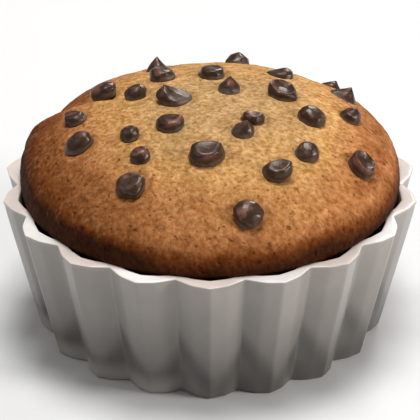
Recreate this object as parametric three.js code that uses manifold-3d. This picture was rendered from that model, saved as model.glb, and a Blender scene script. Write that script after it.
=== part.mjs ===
// A chocolate-chip muffin standing in a fluted baking cup.
// Millimetres, +Z up. The origin is the middle of the cup's flat underside, and one flute points along -Y.
// Three kinds of piece: the glazed ceramic cup, the baked crumb, and the chocolate chips set in its crown.

import * as THREE from "three";
import { mergeVertices } from "three/addons/utils/BufferGeometryUtils.js";
import Module from "manifold-3d";

// ---------- driving dimensions ----------

// The cup. Its radii are measured to the tips of the flutes.
const FLUTE_COUNT = 18;
const CUP_HEIGHT = 31;
const RIM_RADIUS = 45;
const BASE_RADIUS = 37.3;
const FLOOR_THICKNESS = 4;
const WALL_AT_TIPS = 4; // wall thickness at the tips of the flutes
const OUTER_FLUTE_RIM = 3.4; // how deep the outer valleys are at the rim
const OUTER_FLUTE_BASE = 3.1; // and at the base
const INNER_FLUTE = 2; // how deep the flutes show on the inside
const FLUTE_POWER = 1.5; // 1 gives straight-sided flutes, 2 gives round ones
const LIP_ROUND = 0.9; // rounding of the lip's two edges
const FOOT_ROUND = 0.8; // rounding of the foot's edge
const FLOOR_ROUND = 2; // rounding where the wall meets the floor inside
const CUP_SEGMENTS = FLUTE_COUNT * 6;

// The crumb: a dome on a plug that fills the cup.
const DOME_RADIUS = 40.7;
const DOME_FOOT_Z = 35.1; // height where the dome is widest
const DOME_RISE = 16.2; // from there up to the crown
const DOME_SIDE_POWER = 2.13; // superellipse power of the plan distance
const DOME_CROWN_POWER = 1.69; // superellipse power of the height
const DOME_TUCK = 0.5; // how much narrower it is where it meets the lip
const DOME_STEPS = 9;
const CRUMB_SEGMENTS = FLUTE_COUNT * 4;
const GAP = 0.3; // clearance between pieces that touch

// The chips.
const CHIP_SEGMENTS = 10;
const CHIP_SUNK = 1.3; // how far a chip reaches below the crust

// ---------- colours ----------

const CERAMIC = new THREE.MeshStandardMaterial({ color: 0xe9e1d8, roughness: 0.25, metalness: 0 });
const CRUMB = new THREE.MeshStandardMaterial({ color: 0xb9803f, roughness: 0.9, metalness: 0 });
const CHOCOLATE = new THREE.MeshStandardMaterial({ color: 0x3b2620, roughness: 0.35, metalness: 0 });

// ---------- flutes ----------

// 0 on the tip of a flute and 1 in the valley beside it, for a bearing in radians from -Y.
function fluteDrop(bearing) {
  const turn = (bearing * FLUTE_COUNT) / (2 * Math.PI);
  const offTip = Math.abs(turn - Math.round(turn));
  return (2 * offTip) ** FLUTE_POWER;
}

// Turns a profile of { radius, z, flute } about Z and presses the flutes into it.
// The lathe keeps one vertex per profile point on each segment, in the profile's order.
function flutedLathe(profile, segments) {
  const outline = profile.map(({ radius, z }) => new THREE.Vector2(radius, z));
  const geometry = new THREE.LatheGeometry(outline, segments).rotateX(Math.PI / 2);
  const position = geometry.getAttribute("position");
  for (let i = 0; i < position.count; i++) {
    const { radius, z, flute = 0 } = profile[i % profile.length];
    const bearing = (2 * Math.PI * Math.floor(i / profile.length)) / segments;
    const reach = radius - flute * fluteDrop(bearing);
    position.setXYZ(i, reach * Math.sin(bearing), -reach * Math.cos(bearing), z);
  }
  return geometry;
}

// Radius of the cup's outer wall at the flute tips, at height z.
function outerRadius(z) {
  return THREE.MathUtils.lerp(BASE_RADIUS, RIM_RADIUS, z / CUP_HEIGHT);
}

function outerFlute(z) {
  return THREE.MathUtils.lerp(OUTER_FLUTE_BASE, OUTER_FLUTE_RIM, z / CUP_HEIGHT);
}

function innerRadius(z) {
  return outerRadius(z) - WALL_AT_TIPS;
}

// ---------- the cup ----------

function cupProfile() {
  const outside = (z, inset) => ({ radius: outerRadius(z) - inset, z, flute: outerFlute(z) });
  const inside = (z, inset) => ({ radius: innerRadius(z) - inset, z, flute: INNER_FLUTE });
  const roundOff = LIP_ROUND * (1 - Math.SQRT1_2); // what a 45 degree point of a rounded edge loses
  return [
    { radius: 0, z: 0 },
    outside(0, FOOT_ROUND),
    outside(FOOT_ROUND, 0),
    outside(CUP_HEIGHT - LIP_ROUND, 0),
    outside(CUP_HEIGHT - roundOff, roundOff),
    outside(CUP_HEIGHT, LIP_ROUND),
    inside(CUP_HEIGHT, -LIP_ROUND),
    inside(CUP_HEIGHT - roundOff, -roundOff),
    inside(CUP_HEIGHT - LIP_ROUND, 0),
    inside(FLOOR_THICKNESS + FLOOR_ROUND, 0),
    inside(FLOOR_THICKNESS, FLOOR_ROUND),
    { radius: 0, z: FLOOR_THICKNESS },
  ];
}

// ---------- the dome ----------

// A point of the dome's outline: descent runs from 0 at the crown to a quarter turn at the widest place.
function domePoint(descent) {
  return {
    radius: DOME_RADIUS * Math.sin(descent) ** (2 / DOME_SIDE_POWER),
    z: DOME_FOOT_Z + DOME_RISE * Math.cos(descent) ** (2 / DOME_CROWN_POWER),
  };
}

// The outline's outward normal there, as [outwards, upwards].
function domeNormal(descent) {
  const { radius, z } = domePoint(descent);
  const side = radius / DOME_RADIUS;
  const height = (z - DOME_FOOT_Z) / DOME_RISE;
  const outwards = (DOME_SIDE_POWER / DOME_RADIUS) * side ** (DOME_SIDE_POWER - 1);
  const upwards = (DOME_CROWN_POWER / DOME_RISE) * height ** (DOME_CROWN_POWER - 1);
  const length = Math.hypot(outwards, upwards);
  return [outwards / length, upwards / length];
}

function crumbProfile() {
  const floor = FLOOR_THICKNESS + GAP;
  const plug = (z, inset) => ({ radius: innerRadius(z) - GAP - inset, z, flute: INNER_FLUTE });
  const dome = [];
  for (let step = DOME_STEPS; step >= 0; step--) {
    dome.push(domePoint((step / DOME_STEPS) * (Math.PI / 2)));
  }
  return [
    { radius: 0, z: floor },
    plug(floor, FLOOR_ROUND),
    plug(floor + FLOOR_ROUND, 0),
    plug(CUP_HEIGHT, 0),
    { radius: DOME_RADIUS - DOME_TUCK, z: CUP_HEIGHT + GAP },
    ...dome,
  ];
}

// ---------- the chips ----------

// Outlines of the four shapes of chip, from the sunk end to the top: [share of half width, share of height].
// Heights below the crust are shares of CHIP_SUNK, heights above it are shares of the chip's own rise.
const CHIP_OUTLINES = {
  kiss: [[0, -1], [0.72, -0.9], [1, 0], [0.8, 0.42], [0.34, 0.76], [0, 1]],
  round: [[0, -1], [0.75, -0.9], [1, 0], [0.92, 0.5], [0.55, 0.88], [0, 1]],
  flat: [[0, -1], [0.78, -0.9], [1, 0], [0.95, 0.6], [0.7, 1], [0, 0.9]],
  ridge: [[0, -1], [0.75, -0.9], [1, 0], [0.88, 0.5], [0.5, 0.86], [0, 1]],
};

// Where the chips lie, and their sizes. bearing is in degrees from -Y towards +X, descent in degrees down the
// dome, width and rise in mm. stretch is the length along spin over the width across it, spin is in degrees,
// and lean is how far the top is pushed along spin, in mm.
const CHIPS = [
  // round the crown
  { bearing: 148, descent: 10, width: 5.2, rise: 2.6, shape: "kiss" },
  { bearing: -105, descent: 10, width: 6.2, rise: 3.1, shape: "ridge", stretch: 1.25, spin: 175, lean: 1.5 },
  { bearing: 55, descent: 14.5, width: 5.2, rise: 1.9, shape: "flat" },
  { bearing: 31, descent: 18, width: 4.8, rise: 2.5, shape: "kiss", spin: 30, lean: 0.4 },
  { bearing: -43, descent: 16, width: 6, rise: 2.1, shape: "flat" },
  { bearing: 178, descent: 20.5, width: 5.8, rise: 1.8, shape: "flat" },
  { bearing: -112, descent: 23.5, width: 5, rise: 2.1, shape: "round" },
  { bearing: 115, descent: 24, width: 6.3, rise: 2.3, shape: "flat", spin: -60, lean: 0.5 },
  // the front of the dome
  { bearing: -2, descent: 27.5, width: 7.4, rise: 3.1, shape: "ridge", stretch: 1.12, spin: 35, lean: 1.2 },
  { bearing: -57, descent: 28, width: 4.4, rise: 2, shape: "round" },
  { bearing: -38, descent: 34, width: 4.7, rise: 2, shape: "round" },
  { bearing: 52, descent: 38, width: 5.3, rise: 2.4, shape: "ridge", lean: 0.3 },
  { bearing: 31, descent: 40, width: 6.3, rise: 2.9, shape: "kiss", spin: 50, lean: 1.2 },
  { bearing: -32, descent: 47.5, width: 6.6, rise: 2.2, shape: "flat" },
  { bearing: 13, descent: 58, width: 6.9, rise: 2.6, shape: "round" },
  // the sides
  { bearing: -71, descent: 44.5, width: 5.4, rise: 2.6, shape: "round", stretch: 1.3, spin: 40, lean: 0.8 },
  { bearing: -93, descent: 44.5, width: 5, rise: 1.9, shape: "flat" },
  { bearing: -117, descent: 38, width: 5.4, rise: 2.2, shape: "round", stretch: 1.1 },
  { bearing: 84, descent: 31.5, width: 5.9, rise: 2.7, shape: "round", spin: -30, lean: 0.4 },
  { bearing: 96, descent: 46.5, width: 4.6, rise: 2.6, shape: "kiss" },
  { bearing: 67, descent: 58, width: 6.2, rise: 2.4, shape: "flat" },
  { bearing: 117, descent: 54, width: 5.6, rise: 3, shape: "kiss", lean: 0.5 },
  // the back of the dome
  { bearing: -147, descent: 26, width: 5.9, rise: 2.2, shape: "ridge" },
  { bearing: -154, descent: 41, width: 5.2, rise: 2.8, shape: "kiss" },
  { bearing: 140, descent: 37.5, width: 5.6, rise: 2.4, shape: "ridge", lean: 0.8 },
  { bearing: 169, descent: 49, width: 5.6, rise: 2.8, shape: "round" },
  { bearing: 129, descent: 57, width: 4.6, rise: 2.3, shape: "kiss" },
  // low on the back, nearly sunk
  { bearing: 160, descent: 81, width: 5, rise: 1.1, shape: "round" },
  { bearing: 179, descent: 83, width: 4.6, rise: 1, shape: "flat" },
  { bearing: -162, descent: 80, width: 5.4, rise: 1.1, shape: "round", stretch: 1.15, spin: 80 },
];

// One chip in its own frame: its crust line at Z = 0, its stretch and lean along +X.
function chipGeometry({ width, rise, shape, stretch = 1, lean = 0 }, margin) {
  const half = width / 2 + margin;
  const outline = CHIP_OUTLINES[shape].map(([side, height]) => {
    const level = height < 0 ? height * (CHIP_SUNK + margin) : height * (rise + margin);
    return new THREE.Vector2(side * half, level);
  });
  const geometry = new THREE.LatheGeometry(outline, CHIP_SEGMENTS).rotateX(Math.PI / 2);
  const position = geometry.getAttribute("position");
  for (let i = 0; i < position.count; i++) {
    const above = Math.max(0, position.getZ(i)) / rise;
    position.setX(i, position.getX(i) * stretch + lean * above ** 2);
  }
  return geometry;
}

// Stands a chip on the dome: its own Z goes along the dome's normal, and its X towards spin.
function chipPlace({ bearing, descent, spin = 0 }) {
  const around = THREE.MathUtils.degToRad(bearing);
  const down = THREE.MathUtils.degToRad(descent);
  const { radius, z } = domePoint(down);
  const [outwards, upwards] = domeNormal(down);
  const away = new THREE.Vector3(Math.sin(around), -Math.cos(around), 0);
  const normal = away.clone().multiplyScalar(outwards).setZ(upwards);
  const turn = THREE.MathUtils.degToRad(spin);
  const heading = new THREE.Vector3(Math.cos(turn), Math.sin(turn), 0);
  const side = new THREE.Vector3().crossVectors(normal, heading).normalize();
  const forward = new THREE.Vector3().crossVectors(side, normal);
  const place = away.multiplyScalar(radius).setZ(z);
  return new THREE.Matrix4().makeBasis(forward, side, normal).setPosition(place);
}

// ---------- booleans ----------

const wasm = await Module();
wasm.setup();

function solidOf(geometry) {
  const bare = geometry.clone();
  bare.deleteAttribute("normal");
  bare.deleteAttribute("uv");
  const merged = mergeVertices(bare, 1e-4);
  return new wasm.Manifold(
    new wasm.Mesh({
      numProp: 3,
      vertProperties: merged.attributes.position.array,
      triVerts: new Uint32Array(merged.index.array),
    }),
  );
}

function geometryOf(solid) {
  const mesh = solid.getMesh();
  const geometry = new THREE.BufferGeometry();
  geometry.setAttribute("position", new THREE.BufferAttribute(mesh.vertProperties, 3));
  geometry.setIndex(new THREE.BufferAttribute(mesh.triVerts, 1));
  geometry.computeVertexNormals();
  return geometry;
}

// The crumb with a pocket for each chip.
function crumbGeometry() {
  let solid = solidOf(flutedLathe(crumbProfile(), CRUMB_SEGMENTS));
  for (const chip of CHIPS) {
    const pocket = chipGeometry(chip, GAP).applyMatrix4(chipPlace(chip));
    solid = solid.subtract(solidOf(pocket));
  }
  return geometryOf(solid);
}

// ---------- the muffin ----------

const muffin = new THREE.Group();

function add(name, geometry, material) {
  const mesh = new THREE.Mesh(geometry, material);
  mesh.name = name;
  muffin.add(mesh);
  return mesh;
}

add("baking_cup", flutedLathe(cupProfile(), CUP_SEGMENTS), CERAMIC);
add("crumb", crumbGeometry(), CRUMB);
CHIPS.forEach((chip, index) => {
  const number = String(index + 1).padStart(2, "0");
  const mesh = add("chocolate_chip_" + number, chipGeometry(chip, 0), CHOCOLATE);
  chipPlace(chip).decompose(mesh.position, mesh.quaternion, mesh.scale);
});

export default muffin;
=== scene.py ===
import math

import bmesh
import bpy
import numpy as np
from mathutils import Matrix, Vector, noise


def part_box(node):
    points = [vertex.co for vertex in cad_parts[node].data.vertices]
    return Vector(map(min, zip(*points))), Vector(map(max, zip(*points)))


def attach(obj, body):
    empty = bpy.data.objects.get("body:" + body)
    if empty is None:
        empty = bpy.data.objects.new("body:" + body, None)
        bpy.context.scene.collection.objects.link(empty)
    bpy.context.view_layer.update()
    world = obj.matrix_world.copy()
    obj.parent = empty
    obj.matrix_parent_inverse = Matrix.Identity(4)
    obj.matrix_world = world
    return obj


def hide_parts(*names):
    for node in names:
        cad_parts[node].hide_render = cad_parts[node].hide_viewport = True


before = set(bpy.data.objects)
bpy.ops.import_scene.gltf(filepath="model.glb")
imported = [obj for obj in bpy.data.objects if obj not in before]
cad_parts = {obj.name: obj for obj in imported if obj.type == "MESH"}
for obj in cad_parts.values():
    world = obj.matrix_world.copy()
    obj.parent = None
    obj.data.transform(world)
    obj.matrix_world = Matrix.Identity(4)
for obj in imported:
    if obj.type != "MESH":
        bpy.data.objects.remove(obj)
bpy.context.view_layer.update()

bl_info = {
    "name": "Chocolate-chip muffin",
    "version": (1, 0, 0),
    "blender": (4, 5, 0),
    "location": "3D View > Sidebar > Muffin",
    "description": "Models a chocolate-chip muffin in a fluted ceramic cup around its packed frame",
    "category": "Object",
}

MM = 0.001
ROOT = "root"
CUP_NODE = "baking_cup"
CRUMB_NODE = "crumb"
CHIP_PREFIX = "chocolate_chip_"
_, CUP_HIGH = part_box(CUP_NODE)
CRUMB_LOW, CRUMB_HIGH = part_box(CRUMB_NODE)
WIDEST_Z = 35.1 * MM  # height at which the dome is widest


# ---------- sizes and colours ----------


class CupSettings(bpy.types.PropertyGroup):
    """Sizes and glaze of the fluted cup"""

    flutes: bpy.props.IntProperty(
        name="Flutes", description="Number of flutes round the cup", default=18, min=3
    )
    height: bpy.props.FloatProperty(
        name="Height", description="Height of the glazed lip above the table",
        default=CUP_HIGH.z + 0.55 * MM, unit="LENGTH",
    )
    rim_radius: bpy.props.FloatProperty(
        name="Rim radius", description="Radius of the wall at the flute tips, at the lip's height",
        default=45 * MM, unit="LENGTH",
    )
    foot_radius: bpy.props.FloatProperty(
        name="Foot radius", description="Radius of the wall at the flute tips, at the table",
        default=37.3 * MM, unit="LENGTH",
    )
    wall: bpy.props.FloatProperty(
        name="Wall", description="Thickness of the wall at the flute tips", default=3.4 * MM, unit="LENGTH"
    )
    floor: bpy.props.FloatProperty(
        name="Floor", description="Thickness of the floor", default=4 * MM, unit="LENGTH"
    )
    outer_flute: bpy.props.FloatProperty(
        name="Outer flute", description="Depth of the valleys between the flutes, outside at the lip",
        default=3.4 * MM, unit="LENGTH",
    )
    inner_flute: bpy.props.FloatProperty(
        name="Inner flute", description="Depth of the flutes on the inside", default=2 * MM, unit="LENGTH"
    )
    lip_round: bpy.props.FloatProperty(
        name="Lip rounding", description="Radius of the lip's two edges", default=0.4 * MM, unit="LENGTH"
    )
    # Partly painted shade: the walls are painted darker than the lip, standing in for the little light that
    # reaches walls facing away from the light above.
    glaze: bpy.props.FloatVectorProperty(
        name="Glaze", description="Colour of the glaze below the lip", default=(0.345, 0.313, 0.286),
        subtype="COLOR", min=0, max=1,
    )
    # Painted shade: the walls are painted darker from the lip down to the foot.
    shaded_foot_glaze: bpy.props.FloatVectorProperty(
        name="Foot glaze", description="Colour of the glaze at the foot", default=(0.13, 0.119, 0.109),
        subtype="COLOR", min=0, max=1,
    )
    # Painted shade: dark V bands low in each flute.
    painted_shade_glaze: bpy.props.FloatVectorProperty(
        name="Pooled glaze", description="Colour where the glaze has pooled, low in the valleys",
        default=(0.075, 0.070, 0.064), subtype="COLOR", min=0, max=1,
    )
    # Painted light: the lower left of the foot is painted paler, where the cup's own shadow falls on it.
    painted_light_glaze: bpy.props.FloatVectorProperty(
        name="Thin glaze", description="Colour where the glaze is thin, round the left of the foot",
        default=(0.42, 0.39, 0.36), subtype="COLOR", min=0, max=1,
    )
    lip_glaze: bpy.props.FloatVectorProperty(
        name="Lip glaze", description="Colour of the lip on every other flute",
        default=(0.66, 0.57, 0.515), subtype="COLOR", min=0, max=1,
    )
    bright_lip_glaze: bpy.props.FloatVectorProperty(
        name="Bright lip glaze", description="Colour of the lip on the flutes between",
        default=(0.84, 0.80, 0.76), subtype="COLOR", min=0, max=1,
    )


class CrumbSettings(bpy.types.PropertyGroup):
    """Sizes and crust colours of the muffin"""

    radius: bpy.props.FloatProperty(
        name="Dome radius", description="Widest radius of the dome",
        default=(CRUMB_HIGH.x - CRUMB_LOW.x) / 2, unit="LENGTH",
    )
    foot_z: bpy.props.FloatProperty(
        name="Widest height", description="Height at which the dome is widest", default=WIDEST_Z,
        unit="LENGTH",
    )
    rise: bpy.props.FloatProperty(
        name="Rise", description="Height of the crown above the widest place",
        default=CRUMB_HIGH.z - WIDEST_Z, unit="LENGTH",
    )
    golden: bpy.props.FloatVectorProperty(
        name="Golden", description="Colour of the palest crust", default=(0.42, 0.246, 0.10),
        subtype="COLOR", min=0, max=1,
    )
    toasted: bpy.props.FloatVectorProperty(
        name="Toasted", description="Colour of the toasted crust on the shoulders",
        default=(0.485, 0.25, 0.082), subtype="COLOR", min=0, max=1,
    )
    brown: bpy.props.FloatVectorProperty(
        name="Brown", description="Colour of the flanks", default=(0.375, 0.143, 0.046), subtype="COLOR",
        min=0, max=1,
    )
    # Partly painted shade: the crust just above the lip is painted darker where shade falls towards the gap
    # by the lip, as well as by overbaking.
    dark: bpy.props.FloatVectorProperty(
        name="Dark", description="Colour of the overbaked crust above the lip",
        default=(0.155, 0.041, 0.0075), subtype="COLOR", min=0, max=1,
    )
    # Real burning and painted shade in the gap beside the lip.
    burnt_and_shaded: bpy.props.FloatVectorProperty(
        name="Burnt", description="Colour of the crust beside the lip", default=(0.040, 0.011, 0.003),
        subtype="COLOR", min=0, max=1,
    )
    # Painted glints: pale flecks where the crust's small bumps catch the light.
    glint_fleck: bpy.props.FloatVectorProperty(
        name="Flecks", description="Colour of the pale flecks", default=(0.64, 0.38, 0.19),
        subtype="COLOR", min=0, max=1,
    )


class ChipSettings(bpy.types.PropertyGroup):
    """Colours of the chocolate"""

    chocolate: bpy.props.FloatVectorProperty(
        name="Chocolate", description="Colour of the chocolate", default=(0.034, 0.015, 0.008),
        subtype="COLOR", min=0, max=1,
    )
    # Painted highlights: reddish patches high on the chips where they catch the light.
    painted_highlight: bpy.props.FloatVectorProperty(
        name="Rubbed", description="Colour where the chocolate is rubbed or has melted a little",
        default=(0.22, 0.09, 0.06), subtype="COLOR", min=0, max=1,
    )
    bloom: bpy.props.FloatVectorProperty(
        name="Bloom", description="Colour of the pale bloom low on the chips",
        default=(0.17, 0.13, 0.105), subtype="COLOR", min=0, max=1,
    )


class StageSettings(bpy.types.PropertyGroup):
    """Floor, light and camera"""

    floor_colour: bpy.props.FloatVectorProperty(
        name="Floor", description="Colour of the floor", default=(0.74, 0.74, 0.74), subtype="COLOR",
        min=0, max=1,
    )
    camera_pitch: bpy.props.FloatProperty(
        name="Camera pitch", description="How far the camera looks down", default=math.radians(29),
        unit="ROTATION",
    )
    camera_distance: bpy.props.FloatProperty(
        name="Camera distance", description="From the camera to the middle of the cup's foot",
        default=0.774, unit="LENGTH",
    )
    lens: bpy.props.FloatProperty(name="Lens", description="Focal length in mm", default=301.4)


# ---------- modelling helpers ----------


def start_piece(name):
    """Names the primitive that was just added, moves its place into its mesh and goes into edit mode."""
    piece = bpy.context.object
    piece.name = name
    piece.data.name = name
    bpy.ops.object.transform_apply(location=True, rotation=True, scale=True)
    bpy.ops.object.mode_set(mode="EDIT")
    return piece


def deselect_objects():
    """Leaves edit mode and deselects every object, so that the next operator acts on its own piece only."""
    if bpy.context.object is not None and bpy.context.object.mode != "OBJECT":
        bpy.ops.object.mode_set(mode="OBJECT")
    bpy.ops.object.select_all(action="DESELECT")


def pick(piece, test, mode="VERT"):
    """Selects the vertices, edges or faces of a piece in edit mode whose place passes the test."""
    bpy.ops.mesh.select_mode(type=mode)
    bpy.ops.mesh.select_all(action="DESELECT")
    mesh = bmesh.from_edit_mesh(piece.data)
    if mode == "VERT":
        for vertex in mesh.verts:
            vertex.select_set(test(vertex.co))
    elif mode == "EDGE":
        for edge in mesh.edges:
            edge.select_set(test(*(vertex.co for vertex in edge.verts)))
    else:
        for face in mesh.faces:
            face.select_set(test(face))
    mesh.select_flush_mode()
    bmesh.update_edit_mesh(piece.data)


def bearing(place):
    """Bearing of a place round the muffin, in radians from -Y towards +X."""
    return math.atan2(place.x, -place.y)


def pick_ring(piece, level):
    """Selects the edges of a piece that lie at a level."""
    pick(piece, lambda a, b: max(abs(a.z - level), abs(b.z - level)) < 1e-6, "EDGE")


def coat(piece, material):
    """Gives a piece one material in place of any that it had."""
    piece.data.materials.clear()
    piece.data.materials.append(material)


def finish_piece(piece, slot, *nodes):
    """Gives a finished piece its body and hides the CAD nodes it stands for; slot is not used."""
    deselect_objects()
    piece.select_set(True)
    bpy.context.view_layer.objects.active = piece
    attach(piece, ROOT)
    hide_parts(*nodes)


def apply_subdivision(piece, levels):
    """Rounds off the active piece's cage by so many levels of subdivision."""
    modifier = piece.modifiers.new("Subdivision", "SUBSURF")
    modifier.levels = levels
    modifier.render_levels = levels
    bpy.ops.object.modifier_apply(modifier=modifier.name)


def vertex_array(mesh):
    """The places of a mesh's vertices, one row each."""
    places = np.empty(len(mesh.vertices) * 3, np.float32)
    mesh.vertices.foreach_get("co", places)
    return places.reshape(-1, 3).astype(float)


def normal_array(mesh):
    """The normals of a mesh's vertices, one row each."""
    normals = np.empty(len(mesh.vertices) * 3, np.float32)
    mesh.vertex_normals.foreach_get("vector", normals)
    return normals.reshape(-1, 3).astype(float)


def set_vertices(mesh, places):
    """Moves a mesh's vertices to these places, one row each."""
    mesh.vertices.foreach_set("co", places.astype(np.float32).ravel())
    mesh.update()


# ---------- shader expressions ----------


class Value:
    """A number or colour socket in a shader: expressions on it add Math nodes."""

    def __init__(self, paint, socket):
        self.paint = paint
        self.socket = socket

    def __add__(self, other):
        return self.paint.maths("ADD", self, other)

    __radd__ = __add__

    def __sub__(self, other):
        return self.paint.maths("SUBTRACT", self, other)

    def __rsub__(self, other):
        return self.paint.maths("SUBTRACT", other, self)

    def __mul__(self, other):
        return self.paint.maths("MULTIPLY", self, other)

    __rmul__ = __mul__

    def __truediv__(self, other):
        return self.paint.maths("DIVIDE", self, other)

    def __pow__(self, other):
        return self.paint.maths("POWER", self, other)


class Paint:
    """The node tree of one material."""

    def __init__(self, name):
        self.material = bpy.data.materials.new(name)
        self.material.use_nodes = True
        self.tree = self.material.node_tree
        self.tree.nodes.clear()

    def node(self, kind, settings=None, sockets=None, out=0):
        """Adds a node: first its settings, then its sockets' values or links. Returns one output."""
        made = self.tree.nodes.new("ShaderNode" + kind)
        for key, value in (settings or {}).items():
            if key == "stops":
                self.set_stops(made.color_ramp, value)
            else:
                setattr(made, key, value)
        for key, value in (sockets or {}).items():
            if isinstance(value, Value):
                self.tree.links.new(value.socket, made.inputs[key])
            else:
                made.inputs[key].default_value = value
        return Value(self, made.outputs[out]) if made.outputs else None

    @staticmethod
    def set_stops(ramp, stops):
        while len(ramp.elements) < len(stops):
            ramp.elements.new(0.5)
        for element, (place, colour) in zip(ramp.elements, stops):
            element.position = place
            element.color = (*colour, 1)

    def maths(self, operation, *values):
        """Adds a Math node."""
        return self.node("Math", {"operation": operation}, dict(enumerate(values)))

    def place(self):
        """The place on the piece, in metres."""
        return self.node("TexCoord", out="Object")

    def axis(self, name):
        """One coordinate of the place: X, Y or Z."""
        return self.node("SeparateXYZ", sockets={0: self.place()}, out=name)

    def stretched(self, scale, turn=(0, 0, 0)):
        """The place, turned and then in units that differ along the three axes."""
        turned = self.node("Mapping", sockets={"Vector": self.place(), "Rotation": turn})
        return self.node("Mapping", sockets={"Vector": turned, "Scale": scale})

    def grey(self, value):
        """A colour with the same value in its three channels."""
        return self.node("CombineColor", sockets={0: value, 1: value, 2: value})

    def noise(self, size, detail=2, roughness=0.5, where=None):
        """Soft noise whose lumps are about size metres across, from 0 to 1."""
        return self.node(
            "TexNoise",
            sockets={
                "Vector": where or self.place(), "Scale": 1 / size, "Detail": detail,
                "Roughness": roughness,
            },
        )

    def remap(self, value, low, high, to_low=0.0, to_high=1.0, smooth=True):
        """value from low..high to to_low..to_high, held at both ends."""
        return self.node(
            "MapRange",
            {"interpolation_type": "SMOOTHSTEP" if smooth else "LINEAR"},
            {"Value": value, "From Min": low, "From Max": high, "To Min": to_low, "To Max": to_high},
        )

    def linear(self, value, low, high, to_low=0.0, to_high=1.0):
        """remap, but with straight ramps."""
        return self.remap(value, low, high, to_low, to_high, smooth=False)

    def mix(self, first, second, share, blend="MIX"):
        """Two colours mixed: the Mix node's own sockets for colours are 6 and 7 in, and 2 out."""
        return self.node(
            "Mix",
            {"data_type": "RGBA", "blend_type": blend},
            {0: share, 6: self.colour(first), 7: self.colour(second)},
            out=2,
        )

    def tinted(self, colour, tint):
        """A colour multiplied by another."""
        return self.mix(colour, tint, 1.0, "MULTIPLY")

    @staticmethod
    def colour(value):
        """A colour as a socket takes it."""
        return value if isinstance(value, Value) else (*value, 1)

    def bump(self, height, distance, under=None):
        """A normal bent by a height from 0 to 1 that stands for this distance; under is a normal below it."""
        sockets = {"Height": height, "Distance": distance, "Strength": 1.0}
        if under is not None:
            sockets["Normal"] = under
        return self.node("Bump", sockets=sockets)

    def surface(self, **sockets):
        """Ends the tree in a Principled shader; socket names are written with _ for a space."""
        named = {key.replace("_", " "): value for key, value in sockets.items()}
        if not isinstance(named["Base Color"], Value):
            named["Base Color"] = (*named["Base Color"], 1)
        shader = self.node("BsdfPrincipled", sockets=named)
        self.node("OutputMaterial", sockets={"Surface": shader})
        return self.material


# ---------- materials ----------


def wall_tone(paint, settings, turn, height):
    """Glaze of the walls with painted shade: greyer towards the foot and darker in V bands low on the flutes,
    and painted light that makes it paler round the left of the foot.
    """
    beside_tip = turn - paint.maths("ROUND", turn)
    # A V-shaped line low on each flute, along which shade is painted.
    shade_line = paint.linear(beside_tip, -0.5, 0.1, 0.42, 0.04)
    shade_line = shade_line + paint.linear(beside_tip, 0.1, 0.5, 0.0, 0.24)
    off_shade_line = paint.maths("ABSOLUTE", height - shade_line)
    # Painted shade: the walls grow darker from the lip down to the foot.
    tone = paint.mix(settings.shaded_foot_glaze, settings.glaze, paint.linear(height, 0.1, 1.0))
    # Painted shade darkens the glaze along the V line.
    tone = paint.mix(settings.painted_shade_glaze, tone, paint.remap(off_shade_line, 0.0, 0.20, 0.28, 1.0))
    foot = settings.foot_radius
    # Painted light on the lower left of the foot.
    on_left = paint.remap(paint.axis("X"), -0.45 * foot, 0.14 * foot, 1.0, 0.0)
    near_foot = paint.remap(height, 0.02, 0.20, 0.9, 0.0)
    return paint.mix(tone, settings.painted_light_glaze, on_left * near_foot)


def lip_tone(paint, settings, turn):
    """Glaze of the lip: cream, paler on every other flute in front, with painted light on the left and
    painted shade on the right.
    """
    odd_flute = paint.maths("PINGPONG", turn, 1.0)
    in_front = paint.remap(paint.axis("Y"), -4 * MM, 4 * MM, 1.0, 0.0)
    bright = paint.remap(odd_flute, 0.2, 0.8) * in_front
    tone = paint.mix(settings.lip_glaze, settings.bright_lip_glaze, bright)
    rim = settings.rim_radius
    # Painted light and shade: the lip grows paler to the left and darker to the right.
    return paint.tinted(tone, paint.grey(paint.linear(paint.axis("X"), -rim, rim, 1.22, 0.80)))


def glaze_material(settings):
    """Warm white glaze with a soft gloss, faintly mottled and wavy, with painted shade on the walls and
    painted light and shade on the lip.
    """
    paint = Paint("warm white glaze")
    turn = paint.maths("ARCTAN2", paint.axis("X"), paint.axis("Y") * -1) * (settings.flutes / math.tau)
    height = paint.axis("Z") / settings.height
    on_lip = paint.remap(height, 0.987, 0.995)
    colour = paint.mix(wall_tone(paint, settings, turn, height), lip_tone(paint, settings, turn), on_lip)
    mottle = paint.noise(7 * MM, detail=3)
    waves = paint.bump(paint.noise(5 * MM), 0.10 * MM)
    return paint.surface(
        Base_Color=paint.tinted(colour, paint.grey(paint.remap(mottle, 0.3, 0.7, 0.94, 1.04))),
        Roughness=paint.remap(mottle, 0.3, 0.7, 0.30, 0.42),
        Normal=paint.bump(paint.noise(0.9 * MM), 0.012 * MM, under=waves),
        Coat_Weight=0.3,
        Coat_Roughness=0.15,
    )


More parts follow.
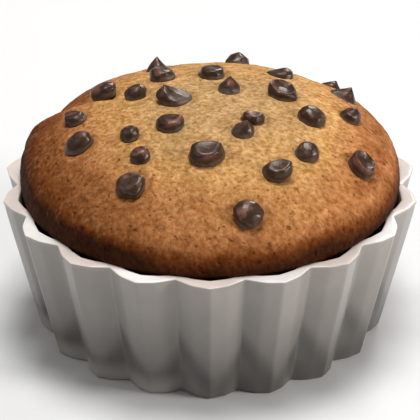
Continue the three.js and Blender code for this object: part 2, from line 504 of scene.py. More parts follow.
def crust_bake_and_shade(paint, level, aside):
    """How well done the crust is, with painted shade and light mixed in: near 0 on the crown, and 1 beside
    the lip, where the crust is burnt and painted shade falls in the gap by the lip.
    """
    off_centre = paint.maths("ABSOLUTE", aside)
    # Darker down the dome: partly real browning, partly painted shade towards the lip.
    down_the_dome = (
        paint.linear(level, 0.55, 1.0, 0.55, 0.0)
        + paint.linear(level, 0.1, 0.5, 0.12, 0.0)
        + paint.linear(level, -0.22, 0.18, 0.40, 0.0)
    )
    # Painted shade on the left side, away from the light, with some real browning.
    left = paint.linear(aside, -0.95, -0.2, 0.23, -0.03)
    half_way_up = paint.remap(level, 0.12, 0.40) * paint.remap(level, 0.65, 0.95, 1.0, 0.2)
    # Painted light half way up the right side.
    right = paint.linear(aside, -0.2, 0.7, 0.0, 0.12) * half_way_up
    # Painted shade at the right edge, low on the dome.
    right_edge = paint.remap(aside, 0.45, 1.0, 0.0, 0.30) * paint.remap(level, 0.18, 0.42)
    # Painted shade at the low edges and low corners of the dome.
    low_edges = paint.remap(off_centre, 0.74, 1.0, 0.0, 0.06) * paint.remap(level, 0.45, 0.0)
    corners = paint.remap(off_centre, 0.25, 0.55, 0.0, 0.13)
    corners = corners * paint.remap(off_centre, 0.58, 0.82, 1.0, 0.05)
    low_corners = corners * paint.remap(level, 0.25, 0.0)
    patches = (paint.noise(12 * MM, detail=3, roughness=0.55) - 0.5) * 0.30
    return down_the_dome + left - right + right_edge + low_edges + low_corners + patches


def crust_ramp(paint, settings, bake_and_shade):
    """The crust's colour by how well done it is and by its painted shade and light."""
    stops = [
        (0.0, settings.golden),
        (0.24, settings.toasted),
        (0.58, settings.brown),
        (0.82, settings.dark),
        (1.0, settings.burnt_and_shaded),
    ]
    return paint.node("ValToRGB", {"stops": stops}, {0: bake_and_shade})


def crust_material(settings):
    """Baked crust: golden above, browner down the flanks and nearly black beside the lip, partly by real
    browning and partly by painted shade and light.
    """
    paint = Paint("baked crust")
    level = (paint.axis("Z") - settings.foot_z) / settings.rise
    aside = paint.axis("X") / settings.radius
    rising = paint.stretched((1.0, 1.0, 0.72), (0.0, 0.35, 0.0))
    grain = paint.noise(0.95 * MM, detail=3, roughness=0.6, where=rising)
    coarse = paint.noise(3.2 * MM, detail=3, roughness=0.6, where=rising)
    pits = paint.remap(paint.noise(1.25 * MM, where=rising), 0.27, 0.37, 1.0, 0.0)
    pits = pits * paint.remap(level, 0.7, 1.0, 1.0, 0.35)
    tone = paint.linear(grain, 0.28, 0.72, 0.60, 1.42) * paint.linear(coarse, 0.3, 0.7, 0.82, 1.17)
    # Painted shade in the pits.
    tone = tone * (1 - pits * 0.45)
    shade = paint.node("CombineColor", sockets={0: tone, 1: tone ** 1.3, 2: tone ** 1.8})
    colour = paint.tinted(crust_ramp(paint, settings, crust_bake_and_shade(paint, level, aside)), shade)
    # Painted glints on the crust's small bumps.
    glint_fleck = paint.remap(paint.noise(1.2 * MM, where=rising), 0.54, 0.72)
    colour = paint.mix(colour, settings.glint_fleck, glint_fleck * 0.22 * paint.remap(level, -0.05, 0.3))
    fine = paint.bump(grain, 0.17 * MM)
    lumps = paint.bump(coarse, 0.38 * MM, under=fine)
    pitted = paint.bump(1 - pits, 0.16 * MM, under=lumps)
    return paint.surface(Base_Color=colour, Roughness=0.7, Normal=pitted, Specular_IOR_Level=0.05)


def chocolate_material(settings):
    """Dark chocolate: polished above, with painted reddish highlights in places high up, and a grey bloom low
    on the sides.
    """
    paint = Paint("dark chocolate")
    above = paint.node("Attribute", {"attribute_name": "above_crust"}, out="Fac")
    smear = paint.noise(1.7 * MM, detail=3, roughness=0.6)
    low = paint.remap(above + (smear - 0.5) * 0.7, 0.0, 0.42, 1.0, 0.0)
    colour = paint.mix(settings.chocolate, settings.bloom, low * 0.6)
    # Painted highlights in patches high on the chips.
    painted_highlight = paint.remap(paint.noise(2.6 * MM, detail=2), 0.50, 0.68)
    high = paint.remap(above, 0.35, 0.9)
    colour = paint.mix(colour, settings.painted_highlight, painted_highlight * high * 0.75)
    dents = paint.bump(paint.noise(1.8 * MM, detail=2), 0.05 * MM)
    grain = paint.bump(paint.noise(0.35 * MM, detail=2), 0.012 * MM, under=dents)
    return paint.surface(
        Base_Color=colour,
        Roughness=paint.remap(smear, 0.3, 0.7, 0.27, 0.40) + low * 0.25,
        Normal=grain,
        Specular_Tint=(1.0, 0.84, 0.74, 1.0),
    )


def floor_material(settings):
    """One flat pale tone."""
    paint = Paint("pale floor")
    return paint.surface(Base_Color=tuple(settings.floor_colour), Roughness=0.9)


# ---------- the cup ----------


FLUTE_STEPS = 4  # points from a flute's tip to the valley beside it
SHOULDER_SLOPE = 0.71  # how fast a flute falls from its tip to its shoulder, halfway to the valley
CUP_CREASES = ((0, 0.8), (0.5, 0.4), (1, 0.9))  # how sharp the tips, the shoulders and the valleys stay
FOOT_FLUTE_SHARE = 0.91  # depth of the outer flutes at the foot, as a share of their depth at the lip
GROOVE_DEPTH = 0.22 * MM  # the groove just under the lip
FLAT_RADIUS = 25 * MM  # inside it there are no flutes to keep sharp
LEVEL_STEP = 0.01 * MM  # keeps rings that lie at the same height apart
CUP_SMOOTHING = 2  # levels of subdivision


def flute_share(place, flutes):
    """0 on a flute's tip and 1 in the valley beside it."""
    turn = bearing(place) * flutes / math.tau
    return 2 * abs(turn - round(turn))


def shape_ring(piece, level, radius, flute, flutes):
    """Scales the ring at a level, one set of like points at a time, into its fluted outline."""
    for step in range(FLUTE_STEPS + 1):
        share = step / FLUTE_STEPS
        shoulder_side = SHOULDER_SLOPE * share
        valley_side = 1 - (2 - SHOULDER_SLOPE) * (1 - share)
        wanted = radius - flute * max(shoulder_side, valley_side)
        now = []

        def in_set(place):
            fits = abs(place.z - level) < LEVEL_STEP / 4 and abs(flute_share(place, flutes) - share) < 0.05
            if fits:
                now.append(place.xy.length)
            return fits

        pick(piece, in_set)
        factor = wanted / now[0]
        bpy.ops.transform.resize(value=(factor, factor, 1), center_override=(0, 0, level))


def close_disc(piece, level, shares=(0.86, 0.6, 0.3)):
    """Draws rings inside the flat end face at a level, then closes the smallest to its middle."""

    def is_end_face(face):
        return len(face.verts) > 4 and abs(face.calc_center_median().z - level) < 1e-4

    pick(piece, is_end_face, "FACE")
    now = 1.0
    for share in shares:
        bpy.ops.mesh.extrude_region_move(
            MESH_OT_extrude_region={}, TRANSFORM_OT_translate={"value": (0, 0, 0)}
        )
        bpy.ops.transform.resize(value=(share / now, share / now, 1), center_override=(0, 0, level))
        now = share
    bpy.ops.mesh.poke()


def cup_rings(settings):
    """Height, tip radius and flute depth of each ring: up from the foot, over the lip and down inside."""
    height = settings.height
    lip = settings.lip_round
    floor = settings.floor

    def outer(z, inset=0.0):
        share = z / height
        radius = settings.foot_radius + share * (settings.rim_radius - settings.foot_radius)
        flute = settings.outer_flute * (FOOT_FLUTE_SHARE + (1 - FOOT_FLUTE_SHARE) * share)
        return z, radius - inset, flute

    def inner(z, inset=0.0, lift=2 * LEVEL_STEP):
        return z + lift, outer(z)[1] - settings.wall - inset, settings.inner_flute

    return [
        outer(0.0, 0.35 * MM),
        outer(0.25 * MM, 0.05 * MM),
        outer(0.8 * MM),
        outer(height / 2),
        outer(height - 1.7 * MM),
        outer(height - 1.0 * MM, GROOVE_DEPTH),
        outer(height - 0.6 * MM),
        outer(height - 0.3 * lip, 0.1 * lip),
        outer(height, lip),
        inner(height, -lip, LEVEL_STEP),
        inner(height - 0.2 * lip, -0.22 * lip),
        inner(height - lip),
        inner(height - 2.8 * MM),
        inner(floor + 4 * MM),
        inner(floor + 1 * MM, 0.6 * MM),
        (floor, inner(floor)[1] - 3 * MM, settings.inner_flute * 0.7),
    ]


def crease_flutes(cup, flutes):
    """Keeps the lines down the flutes' tips, shoulders and valleys sharp through the subdivision."""
    for share, crease in CUP_CREASES:

        def runs_down(a, b):
            off_line = max(abs(flute_share(end, flutes) - share) for end in (a, b))
            return a.xy.length > FLAT_RADIUS and abs(bearing(a) - bearing(b)) < 0.02 and off_line < 0.1

        pick(cup, runs_down, "EDGE")
        bpy.ops.transform.edge_crease(value=crease)


def model_cup(settings):
    """Draws the fluted outline of the foot, then pulls it up ring by ring, over the lip and down inside."""
    flutes = settings.flutes
    deselect_objects()
    bpy.ops.mesh.primitive_circle_add(
        vertices=2 * FLUTE_STEPS * flutes, radius=settings.foot_radius, fill_type="NGON", location=(0, 0, 0)
    )
    cup = start_piece("fluted_cup")
    rings = cup_rings(settings)
    level, radius, flute = rings[0]
    shape_ring(cup, level, radius, flute, flutes)
    pick_ring(cup, level)
    for z, radius, flute in rings[1:]:
        bpy.ops.mesh.extrude_edges_move(TRANSFORM_OT_translate={"value": (0, 0, z - level)})
        shape_ring(cup, z, radius, flute, flutes)
        pick_ring(cup, z)
        level = z
    bpy.ops.mesh.edge_face_add()
    for floor_level in (0.0, settings.floor):
        close_disc(cup, floor_level)
    crease_flutes(cup, flutes)
    bpy.ops.mesh.select_all(action="SELECT")
    bpy.ops.mesh.normals_make_consistent(inside=False)
    bpy.ops.object.mode_set(mode="OBJECT")
    apply_subdivision(cup, CUP_SMOOTHING)
    bpy.ops.object.shade_smooth()
    coat(cup, glaze_material(settings))
    finish_piece(cup, "ceramic", CUP_NODE)


# ---------- the dome's shape ----------

SIDE_POWER = 2.13  # superellipse power of the dome's plan distance
CROWN_POWER = 1.69  # superellipse power of its height


def dome_point(settings, descent):
    """Radius and height of the dome's outline: descent is 0 at the crown, a quarter turn at the widest."""
    radius = settings.radius * math.sin(descent) ** (2 / SIDE_POWER)
    return radius, settings.foot_z + settings.rise * max(0.0, math.cos(descent)) ** (2 / CROWN_POWER)


def dome_normal(settings, descent):
    """Outward and upward share of the outline's normal."""
    radius, z = dome_point(settings, descent)
    outwards = SIDE_POWER / settings.radius * (radius / settings.radius) ** (SIDE_POWER - 1)
    upwards = CROWN_POWER / settings.rise * ((z - settings.foot_z) / settings.rise) ** (CROWN_POWER - 1)
    return Vector((outwards, upwards)).normalized()


def nearest_descent(settings, radius, z):
    """The descent whose outward normal passes through a point near the crust."""
    quarter_degrees = (math.radians(step / 4) for step in range(1, 360))
    return min(
        quarter_degrees, key=lambda descent: math.dist(dome_point(settings, descent), (radius, z))
    )


# ---------- the chips' places ----------


class ChipSeat:
    """Where a chip lies, taken from its CAD node: its place on the crust, its axes and its half widths."""

    def __init__(self, number, crumb):
        self.node = f"{CHIP_PREFIX}{number:02d}"
        low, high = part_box(self.node)
        middle = (low + high) / 2
        around = bearing(middle)
        descent = nearest_descent(crumb, middle.xy.length, middle.z)
        radius, z = dome_point(crumb, descent)
        outwards, upwards = dome_normal(crumb, descent)
        away = Vector((math.sin(around), -math.cos(around), 0))
        self.normal = (away * outwards + Vector((0, 0, upwards))).normalized()
        self.place = away * radius + Vector((0, 0, z))
        self.side = self.normal.cross(Vector((1, 0, 0))).normalized()
        self.forward = self.side.cross(self.normal)
        self.measure()
        slide = CHIP_SLIDES.get(number, (0, 0, 0))
        for axis, way in zip((self.forward, self.side, self.normal), slide):
            self.place += axis * way * MM
        self.heading += CHIP_TURNS.get(number, 0)

    def measure(self):
        """Centres the seat under the CAD chip and finds its longest and its narrowest half width."""
        places = vertex_array(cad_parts[self.node].data) - np.array(self.place)
        flat = np.stack([places @ np.array(self.forward), places @ np.array(self.side)], axis=1)
        up = places @ np.array(self.normal)
        middle = (flat.max(axis=0) + flat.min(axis=0)) / 2
        self.place += self.forward * middle[0] + self.side * middle[1]
        flat -= middle
        headings = [math.radians(turn) for turn in range(0, 180, 5)]
        reach = [np.abs(flat @ np.array((math.cos(turn), math.sin(turn)))).max() for turn in headings]
        self.heading = headings[int(np.argmax(reach))]
        self.half_length = max(reach)
        self.half_width = min(reach)
        self.rise = up.max()
        self.sunk = -up.min()

    def spread(self, places):
        """Unit places to the chip's own size: stretched along its heading, then laid on the crust."""
        along = np.array((math.cos(self.heading), math.sin(self.heading)))
        across = np.array((-along[1], along[0]))
        flat = places[:, :2]
        flat = (
            np.outer(flat @ along, along) * self.half_length
            + np.outer(flat @ across, across) * self.half_width
        )
        level = np.where(places[:, 2] > 0, places[:, 2] * self.rise, places[:, 2] * self.sunk)
        return (
            np.array(self.place)
            + np.outer(flat[:, 0], self.forward)
            + np.outer(flat[:, 1], self.side)
            + np.outer(level, self.normal)
        )


# What makes each chip itself. Places on it are in half widths: X towards the muffin's +X, Y up the dome.
# form, its reach towards -X and up the dome, where its top leans to, which way it rises,
# its hollow: X, Y, size, depth.
CHIP_LOOKS = {
    1: ("peak", (1.0, 1.0), (0.02, 0.0), (0.0, 0.0), (0.5, -0.5, 0.5, 0.08)),
    2: ("kiss", (0.95, 0.95), (-0.42, 0.15), (-0.10, 0.06), (0.42, -0.05, 0.80, 0.20)),
    3: ("flat", (1.0, 0.50), (0.0, -0.05), (0.0, -0.04), (0.1, 0.0, 0.45, 0.06)),
    4: ("kiss", (1.1, 0.85), (0.20, 0.05), (0.06, 0.0), (-0.55, 0.1, 0.45, 0.15)),
    5: ("flat", (1.08, 0.55), (0.0, 0.0), (0.10, 0.02), (0.5, 0.0, 0.6, 0.10)),
    6: ("flat", (1.0, 0.95), (0.0, 0.0), (0.0, 0.02), (0.15, 0.1, 0.45, 0.08)),
    7: ("round", (1.0, 0.80), (0.10, 0.05), (0.05, 0.02), (0.6, -0.6, 0.4, 0.05)),
    8: ("dish", (1.12, 0.95), (-0.05, -0.06), (-0.08, 0.14), (-0.1, -0.1, 0.60, 0.08)),
    9: ("flat", (1.0, 0.45), (0.0, -0.05), (0.10, 0.03), (0.30, -0.25, 0.65, 0.16)),
    10: ("round", (1.05, 0.80), (0.05, 0.0), (0.05, 0.0), (-0.5, -0.5, 0.4, 0.0)),
    11: ("round", (1.0, 0.75), (0.05, 0.05), (0.05, 0.0), (-0.5, 0.2, 0.4, 0.04)),
    12: ("round", (1.05, 0.65), (0.0, 0.10), (0.0, 0.08), (-0.45, -0.3, 0.6, 0.10)),
    13: ("flat", (1.0, 0.50), (0.08, 0.0), (0.22, 0.0), (-0.10, -0.15, 0.6, 0.08)),
    14: ("flat", (1.0, 0.85), (0.0, -0.05), (0.0, -0.05), (-0.1, 0.1, 0.5, 0.0)),
    15: ("round", (1.0, 0.90), (0.0, 0.0), (0.0, 0.0), (0.45, 0.15, 0.4, 0.06)),
    16: ("round", (1.0, 0.80), (0.12, 0.05), (0.16, 0.10), (-0.5, 0.4, 0.5, 0.0)),
    17: ("flat", (0.90, 0.75), (0.0, 0.05), (-0.14, 0.02), (0.5, 0.1, 0.5, 0.06)),
    18: ("round", (1.0, 1.0), (0.05, 0.0), (0.05, 0.0), (0.5, -0.3, 0.45, 0.0)),
    19: ("round", (1.20, 0.75), (-0.05, 0.05), (-0.08, 0.04), (0.5, 0.5, 0.5, 0.04)),
    20: ("cone", (1.05, 0.95), (0.10, 0.08), (0.04, 0.04), (-0.5, 0.3, 0.4, 0.0)),
    21: ("dish", (1.0, 0.80), (-0.12, 0.02), (-0.05, 0.04), (0.0, 0.1, 0.25, 0.04)),
    22: ("peak", (1.50, 1.05), (0.02, 0.12), (0.06, 0.10), (-0.6, -0.2, 0.6, 0.06)),
    23: ("round", (1.0, 0.95), (-0.05, 0.05), (-0.12, 0.0), (0.1, 0.0, 0.4, 0.14)),
    24: ("peak", (1.0, 0.90), (0.20, -0.10), (0.0, 0.0), (0.5, 0.0, 0.4, 0.04)),
    25: ("cone", (1.30, 0.90), (0.12, 0.0), (0.10, 0.04), (-0.5, 0.0, 0.6, 0.12)),
    26: ("cone", (1.0, 0.90), (0.05, 0.0), (0.0, 0.0), (0.5, -0.5, 0.5, 0.0)),
    27: ("kiss", (1.25, 0.95), (-0.05, 0.0), (0.0, 0.05), (-0.5, 0.0, 0.4, 0.0)),
    28: ("round", (1.0, 1.0), (0.0, 0.0), (0.0, 0.0), (0.3, 0.2, 0.4, 0.05)),
    29: ("flat", (1.0, 1.0), (0.0, 0.0), (0.0, 0.0), (0.2, 0.1, 0.4, 0.05)),
    30: ("round", (1.0, 1.0), (0.0, 0.0), (0.1, 0.0), (-0.3, 0.2, 0.4, 0.05)),
}

# How far some chips have slid from their seats, in mm: towards +X, up the dome and out of the crust.
CHIP_SLIDES = {
    3: (0.0, -0.2, -0.2),
    8: (-0.2, -1.0, -0.25),
    14: (0.0, -0.1, 0.0),
    16: (0.0, -0.2, 0.0),
    17: (0.35, -0.2, 0.0),
    19: (-0.2, -0.3, -0.1),
    21: (-0.4, 0.0, 0.0),
    22: (-0.55, -0.2, -0.35),
    24: (0.2, 0.0, -0.45),
    25: (-0.8, 0.0, -0.5),
    26: (0.0, 0.0, -0.3),
    27: (0.0, 0.0, -0.3),
}
CHIP_TURNS = {16: math.radians(-15)}

# The rings of each form of chip, from its sunk end to its top, as shares of its half width and its height.
CHIP_RINGS = {
    "kiss": ((0.55, -1.0), (0.95, -0.65), (1.04, -0.02), (0.99, 0.30), (0.80, 0.56), (0.50, 0.80),
             (0.20, 1.00), (0.04, 1.12)),
    "peak": ((0.55, -1.0), (0.95, -0.65), (1.04, -0.02), (0.93, 0.26), (0.68, 0.56), (0.40, 0.84),
             (0.16, 1.06), (0.03, 1.18)),
    "cone": ((0.55, -1.0), (0.95, -0.65), (1.04, -0.02), (1.02, 0.32), (0.88, 0.62), (0.62, 0.84),
             (0.30, 1.00), (0.05, 1.08)),
    "round": ((0.55, -1.0), (0.95, -0.65), (1.05, -0.02), (1.03, 0.38), (0.86, 0.74), (0.52, 0.98),
              (0.18, 1.04)),
    "flat": ((0.55, -1.0), (0.95, -0.65), (1.05, -0.02), (1.03, 0.45), (0.88, 0.88), (0.68, 1.02),
             (0.32, 1.02)),
    "dish": ((0.55, -1.0), (0.95, -0.65), (1.04, -0.02), (1.08, 0.42), (1.03, 0.84), (0.88, 1.02),
             (0.70, 0.88), (0.34, 0.74)),
}
CHIP_SIDES = 9
CHIP_CREASE = 0.33  # keeps the chips' broken facets while their edges round off
CHIP_SMOOTHING = 3  # levels of subdivision
CHIP_TOP = 1.2  # the highest that a chip reaches, as a share of its height
CHIP_JITTER = (0.24, 0.24, 0.105)  # how far the corners stray from the form, sideways and upwards
CHIP_JITTER_SCALE = 2.3  # how soon that changes from corner to corner
CHIP_LEAN_POWER = 1.7  # over 1, so that a chip leans most at its top
CHIP_TILT = 1.4
CHIP_SEED = 10  # without it the corners stray another way on each run


def model_chip_master(form):
    """A chip of unit half width and unit rise: a circle pulled up ring by ring, and closed at both ends."""
    deselect_objects()
    rings = CHIP_RINGS[form]
    now, level = rings[0]
    bpy.ops.mesh.primitive_circle_add(
        vertices=CHIP_SIDES, radius=now, fill_type="NGON", location=(0, 0, level)
    )
    chip = start_piece("chip_master_" + form)
    pick(chip, lambda a, b: True, "EDGE")
    for share, z in rings[1:]:
        bpy.ops.mesh.extrude_edges_move(TRANSFORM_OT_translate={"value": (0, 0, z - level)})
        bpy.ops.transform.resize(value=(share / now, share / now, 1), center_override=(0, 0, z))
        now, level = share, z
    bpy.ops.mesh.edge_face_add()
    bpy.ops.mesh.select_all(action="SELECT")
    bpy.ops.transform.edge_crease(value=CHIP_CREASE)
    bpy.ops.mesh.normals_make_consistent(inside=False)
    bpy.ops.object.mode_set(mode="OBJECT")
    return chip


def shape_chip(places, number, look):
    """Breaks up a master's cage: uneven corners, a leaning top that rises to one side."""
    _, (aside, back), lean, tilt, _ = look
    above = np.clip(places[:, 2], 0, CHIP_TOP)
    own_corner = Vector((number * 7.3, number * 1.7, 0))
    rough = np.array([
        noise.noise_vector(Vector(place) * CHIP_JITTER_SCALE + own_corner) for place in places
    ])
    off_axis = np.clip(np.hypot(places[:, 0], places[:, 1]), 0, 1)[:, None]
    moved = places + rough * off_axis ** 1.5 * np.array(CHIP_JITTER)
    moved[:, 0] *= np.where(places[:, 0] < 0, aside, 1.0)
    moved[:, 1] *= np.where(places[:, 1] > 0, back, 1.0)
    moved[:, :2] += np.outer(above ** CHIP_LEAN_POWER, lean)
    moved[:, 2] += above * (places[:, :2] @ np.array(tilt)) * CHIP_TILT
    return moved


def hollow_chip(places, look):
    """Presses the chip's hollow into its top."""
    x, y, size, depth = look[4]
    distance = np.hypot(places[:, 0] - x, places[:, 1] - y) / size
    upper = np.clip(places[:, 2] / 0.5, 0, 1)
    pressed = places.copy()
    pressed[:, 2] -= depth * upper * np.exp(-(distance ** 3))
    return pressed


def place_chip(master, seat, number, look):
    """Copies a master, breaks up its cage, subdivides it, presses its hollow and seats it in the crust."""
    chip = master.copy()
    chip.data = master.data.copy()
    chip.name = f"chip_{number:02d}"
    bpy.context.scene.collection.objects.link(chip)
    deselect_objects()
    chip.select_set(True)
    bpy.context.view_layer.objects.active = chip
    set_vertices(chip.data, shape_chip(vertex_array(chip.data), number, look))
    apply_subdivision(chip, CHIP_SMOOTHING)
    places = hollow_chip(vertex_array(chip.data), look)
    set_vertices(chip.data, seat.spread(places))
    share = chip.data.attributes.new("above_crust", "FLOAT", "POINT")
    share.data.foreach_set("value", np.clip(places[:, 2], 0, CHIP_TOP).astype(np.float32))
    bpy.ops.object.shade_smooth()
    return chip


def model_chips(settings, seats):
    """Models a master of each form, then one chip for each seat."""
    noise.seed_set(CHIP_SEED)
    material = chocolate_material(settings)
    masters = {form: model_chip_master(form) for form in CHIP_RINGS}
    for number, seat in seats.items():
        look = CHIP_LOOKS[number]
        chip = place_chip(masters[look[0]], seat, number, look)
        coat(chip, material)
        finish_piece(chip, "chocolate", seat.node)
    for master in masters.values():
        bpy.data.objects.remove(master)


# ---------- the crumb ----------

# Broad swells and dips of the dome: bearing in degrees, descent in degrees, spread and rise in mm.
SWELLS = (
    (-94, 78, 9, 0.45),
    (-84, 82, 7, -0.5),
    (-88, 60, 9, 0.35),
    (-134, 52, 8, 0.3),
    (112, 58, 13, 0.65),
    (145, 48, 14, 0.35),
    (138, 60, 6, -0.3),
    (18, 62, 3.5, -0.5),
)

FURROW_START = (-36.0 * MM, 12.0 * MM)  # in plan, low on the left flank
FURROW_END = (-14.0 * MM, 5.2 * MM)
FURROW_RUN_ON = 1.2  # how far it goes on down the flank before its start, in its own lengths
FURROW_DEPTH = 2.4 * MM
FURROW_BACK = 7.5 * MM  # the slope behind it is long, and the one in front is short
FURROW_FRONT = 0.7 * MM
LOBE_RISE = 0.75 * MM  # the swelling in front of the furrow
LOBE_OFFSET = 2.6 * MM
LOBE_WIDTH = 2.2 * MM
SEAT_DEPTH = 0.45 * MM  # the dip in the crust under each chip
SEAT_RIM = 0.22 * MM  # the crust pushed up round it
LUMP_SIZE = 5 * MM
LUMP_HEIGHT = 0.16 * MM
GRAIN_SIZE = 1.4 * MM
GRAIN_HEIGHT = 0.07 * MM
PORE_SPACING = 2.0 * MM
PORE_WIDTH = 0.32  # as a share of the spacing
PORE_DEPTH = 0.16 * MM
FADE_IN = 1.5 * MM  # the relief sets in over this height above the cup
CRUMB_SIDES = 60
CRUMB_SMOOTHING = 3  # levels of subdivision
DOME_RINGS = 17
CROWN_DESCENT = 4  # degrees: the highest ring, which is closed to the crown's middle


def swells(settings, places):
    """How far the crust stands up in its broad swells, and down in its dips."""
    move = np.zeros(len(places))
    for around, descent, spread, rise in SWELLS:
        radius, z = dome_point(settings, math.radians(descent))
        angle = math.radians(around)
        centre = np.array((radius * math.sin(angle), -radius * math.cos(angle), z))
        distance = np.linalg.norm(places - centre, axis=1)
        move += rise * MM * np.exp(-((distance / (spread * MM)) ** 2))
    return move


def furrow(places):
    """The fold where the dome's back has sunk behind its front lobe: deep on the left, fading inwards."""
    start = np.array(FURROW_START)
    run = np.array(FURROW_END) - start
    length = np.linalg.norm(run)
    offset = places[:, :2] - start
    along = (offset @ run) / length ** 2
    behind = offset @ np.array((-run[1], run[0])) / length
    fade = np.clip(1 - along, 0, 1) ** 0.8 * np.exp(-np.clip(-along, 0, None) * 2.0)
    slope = np.where(behind > 0, FURROW_BACK, FURROW_FRONT)
    sunk = np.exp(-((behind / slope) ** 2))
    swollen = np.exp(-(((behind + LOBE_OFFSET) / LOBE_WIDTH) ** 2))
    return fade * (LOBE_RISE * swollen - FURROW_DEPTH * sunk) * (along > -FURROW_RUN_ON)


def seat_dips(seats, places):
    """The crust dips under each chip and is pushed up round it."""
    move = np.zeros(len(places))
    for seat in seats.values():
        reach = (seat.half_length + seat.half_width) / 2
        distance = np.linalg.norm(places - np.array(seat.place), axis=1)
        move -= SEAT_DEPTH * np.exp(-((distance / (1.15 * reach)) ** 4))
        move += SEAT_RIM * np.exp(-(((distance - 1.5 * reach) / (0.35 * reach)) ** 2))
    return move


def crust_relief(places):
    """Lumps, grain and pores."""
    apart = Vector((5, 3, 1))  # so that the grain doesn't follow the lumps
    lumps = np.array([noise.fractal(Vector(place) / LUMP_SIZE, 0.9, 2.1, 3) for place in places])
    grain = np.array([
        noise.fractal(Vector(place) / GRAIN_SIZE + apart, 0.8, 2.0, 3) for place in places
    ])
    to_pore = np.array([noise.voronoi(Vector(place) / PORE_SPACING)[0][0] for place in places])
    pores = np.clip(1 - to_pore / PORE_WIDTH, 0, 1)
    return lumps * LUMP_HEIGHT + grain * GRAIN_HEIGHT - pores * PORE_DEPTH


def sculpt_crumb(crumb, settings, seats):
    """Moves the dome's vertices along their normals: swells, a furrow, chip seats, lumps and pores."""
    mesh = crumb.data
    places = vertex_array(mesh)
    move = swells(settings, places) + furrow(places) + seat_dips(seats, places) + crust_relief(places)
    above_cup = np.clip((places[:, 2] - CUP_HIGH.z) / FADE_IN, 0, 1)
    set_vertices(mesh, places + normal_array(mesh) * (move * above_cup)[:, None])


def crumb_rings(settings):
    """Height and radius of each ring: up the plug in the cup, out over the lip and up the dome."""
    low = CRUMB_LOW.z
    lip = CUP_HIGH.z
    plug = settings.radius - 2.6 * MM
    rings = [
        (low, plug - 8 * MM),
        (low + 1.2 * MM, plug - 6 * MM),
        (low + 9 * MM, plug - 4.5 * MM),
        (lip - 0.6 * MM, plug),
        (lip + 0.15 * MM, settings.radius - 0.35 * MM),
        (lip + 0.9 * MM, settings.radius + 0.20 * MM),
        (lip + 2.2 * MM, settings.radius + 0.15 * MM),
    ]
    for step in range(DOME_RINGS + 1):
        descent = math.radians(90 - (90 - CROWN_DESCENT) * (step / DOME_RINGS))
        radius, z = dome_point(settings, descent)
        rings.append((z, radius))
    return rings


def model_crumb(settings, seats):
    """A round plug in the cup, pulled up ring by ring into the dome."""
    rings = crumb_rings(settings)
    level, now = rings[0]
    deselect_objects()
    bpy.ops.mesh.primitive_circle_add(
        vertices=CRUMB_SIDES, radius=now, fill_type="NGON", location=(0, 0, level)
    )
    crumb = start_piece("muffin_crumb")
    pick(crumb, lambda a, b: True, "EDGE")
    for z, radius in rings[1:]:
        bpy.ops.mesh.extrude_edges_move(TRANSFORM_OT_translate={"value": (0, 0, z - level)})
        bpy.ops.transform.resize(value=(radius / now, radius / now, 1), center_override=(0, 0, z))
        level, now = z, radius
    bpy.ops.mesh.edge_face_add()
    bpy.ops.mesh.poke()
    bpy.ops.mesh.select_all(action="SELECT")
    bpy.ops.mesh.normals_make_consistent(inside=False)
    bpy.ops.object.mode_set(mode="OBJECT")
    apply_subdivision(crumb, CRUMB_SMOOTHING)
    sculpt_crumb(crumb, settings, seats)
    bpy.ops.object.shade_smooth()
    coat(crumb, crust_material(settings))
    finish_piece(crumb, "crumb", CRUMB_NODE)


def chip_seats(settings):
    """Every chip's seat, by its number."""
    return {number: ChipSeat(number, settings) for number in CHIP_LOOKS}


# ---------- floor, light and camera ----------

FLOOR_SIZE = 6
WORLD_STRENGTH = 0.20
CAMERA_WAY = Vector((0, -0.666, 0.3942))  # from the middle of the cup's foot towards the camera
LIGHTS = (  # name, place, size, power and colour
    ("overhead_softbox", (0.02, 0.08, 1.1), 0.42, 9.0, (1, 1, 1)),
    ("right_softbox", (0.92, -0.32, 0.42), 0.30, 6.4, (1.0, 0.97, 0.93)),
    ("left_fill", (-0.75, -0.10, 0.75), 0.50, 1.1, (1.0, 0.985, 0.97)),
    ("back_softbox", (0.30, 0.85, 0.60), 0.30, 3.4, (1.0, 0.97, 0.95)),
)


def add_area_light(name, place, size, power, colour):
    """A square area light that looks at the middle of the muffin."""
    bpy.ops.object.light_add(type="AREA", location=place)
    light = bpy.context.object
    light.name = name
    light.data.shape = "SQUARE"
    light.data.size = size
    light.data.energy = power
    light.data.color = colour
    target = Vector((0, 0, CUP_HIGH.z))
    light.rotation_euler = (target - light.location).to_track_quat("-Z", "Y").to_euler()


def build_stage(settings):
    """Lays the floor, sets up the lights and the dim world, and places the camera."""
    deselect_objects()
    bpy.ops.mesh.primitive_plane_add(size=FLOOR_SIZE, location=(0, 0, 0))
    floor = bpy.context.object
    floor.name = "floor"
    floor.data.materials.append(floor_material(settings))
    for light in LIGHTS:
        add_area_light(*light)
    world = bpy.data.worlds.new("dim studio")
    world.use_nodes = True
    background = world.node_tree.nodes["Background"]
    background.inputs["Color"].default_value = (1, 1, 1, 1)
    background.inputs["Strength"].default_value = WORLD_STRENGTH
    bpy.context.scene.world = world
    location = CAMERA_WAY * (settings.camera_distance / CAMERA_WAY.length)
    rotation = (math.pi / 2 - settings.camera_pitch, 0, 0)
    bpy.ops.object.camera_add(location=location, rotation=rotation)
    camera = bpy.context.object
    camera.name = "camera"
    camera.data.sensor_width = 36
    camera.data.lens = settings.lens
    camera.data.clip_start = 0.01
    bpy.context.scene.camera = camera
    bpy.context.scene.view_settings.view_transform = "Standard"


# ---------- operators, panel and registration ----------


class MUFFIN_OT_cup(bpy.types.Operator):
    """Model the fluted ceramic cup"""

    bl_idname = "muffin.cup"
    bl_label = "Fluted cup"

    def execute(self, context):
        model_cup(context.scene.muffin_cup)
        return {"FINISHED"}


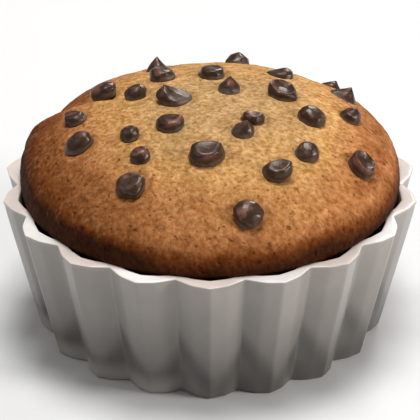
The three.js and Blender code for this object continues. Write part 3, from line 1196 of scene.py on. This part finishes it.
class MUFFIN_OT_crumb(bpy.types.Operator):
    """Model the baked muffin"""

    bl_idname = "muffin.crumb"
    bl_label = "Baked muffin"

    def execute(self, context):
        settings = context.scene.muffin_crumb
        model_crumb(settings, chip_seats(settings))
        return {"FINISHED"}


class MUFFIN_OT_chips(bpy.types.Operator):
    """Model the chocolate chips"""

    bl_idname = "muffin.chips"
    bl_label = "Chocolate chips"

    def execute(self, context):
        model_chips(context.scene.muffin_chips, chip_seats(context.scene.muffin_crumb))
        return {"FINISHED"}


class MUFFIN_OT_stage(bpy.types.Operator):
    """Lay the floor, light it and set the camera"""

    bl_idname = "muffin.stage"
    bl_label = "Stage"

    def execute(self, context):
        build_stage(context.scene.muffin_stage)
        return {"FINISHED"}


class MUFFIN_PT_panel(bpy.types.Panel):
    """Sizes and colours of the muffin"""

    bl_label = "Muffin"
    bl_idname = "MUFFIN_PT_panel"
    bl_space_type = "VIEW_3D"
    bl_region_type = "UI"
    bl_category = "Muffin"

    def draw(self, context):
        for operator, group in OPERATOR_SETTINGS:
            box = self.layout.box()
            settings = getattr(context.scene, group)
            for name in settings.__annotations__:
                box.prop(settings, name)
            box.operator(operator)


OPERATOR_SETTINGS = (
    ("muffin.cup", "muffin_cup"),
    ("muffin.crumb", "muffin_crumb"),
    ("muffin.chips", "muffin_chips"),
    ("muffin.stage", "muffin_stage"),
)
SETTINGS = {
    "muffin_cup": CupSettings,
    "muffin_crumb": CrumbSettings,
    "muffin_chips": ChipSettings,
    "muffin_stage": StageSettings,
}
OPERATORS = (MUFFIN_OT_cup, MUFFIN_OT_crumb, MUFFIN_OT_chips, MUFFIN_OT_stage)


def register():
    for name, group in SETTINGS.items():
        bpy.utils.register_class(group)
        setattr(bpy.types.Scene, name, bpy.props.PointerProperty(type=group))
    for operator in OPERATORS:
        bpy.utils.register_class(operator)
    bpy.utils.register_class(MUFFIN_PT_panel)


def unregister():
    bpy.utils.unregister_class(MUFFIN_PT_panel)
    for operator in reversed(OPERATORS):
        bpy.utils.unregister_class(operator)
    for name, group in reversed(SETTINGS.items()):
        delattr(bpy.types.Scene, name)
        bpy.utils.unregister_class(group)


def main():
    """Models the muffin."""
    register()
    bpy.ops.muffin.stage()
    bpy.ops.muffin.cup()
    bpy.ops.muffin.crumb()
    bpy.ops.muffin.chips()


if __name__ == "__main__":
    main()
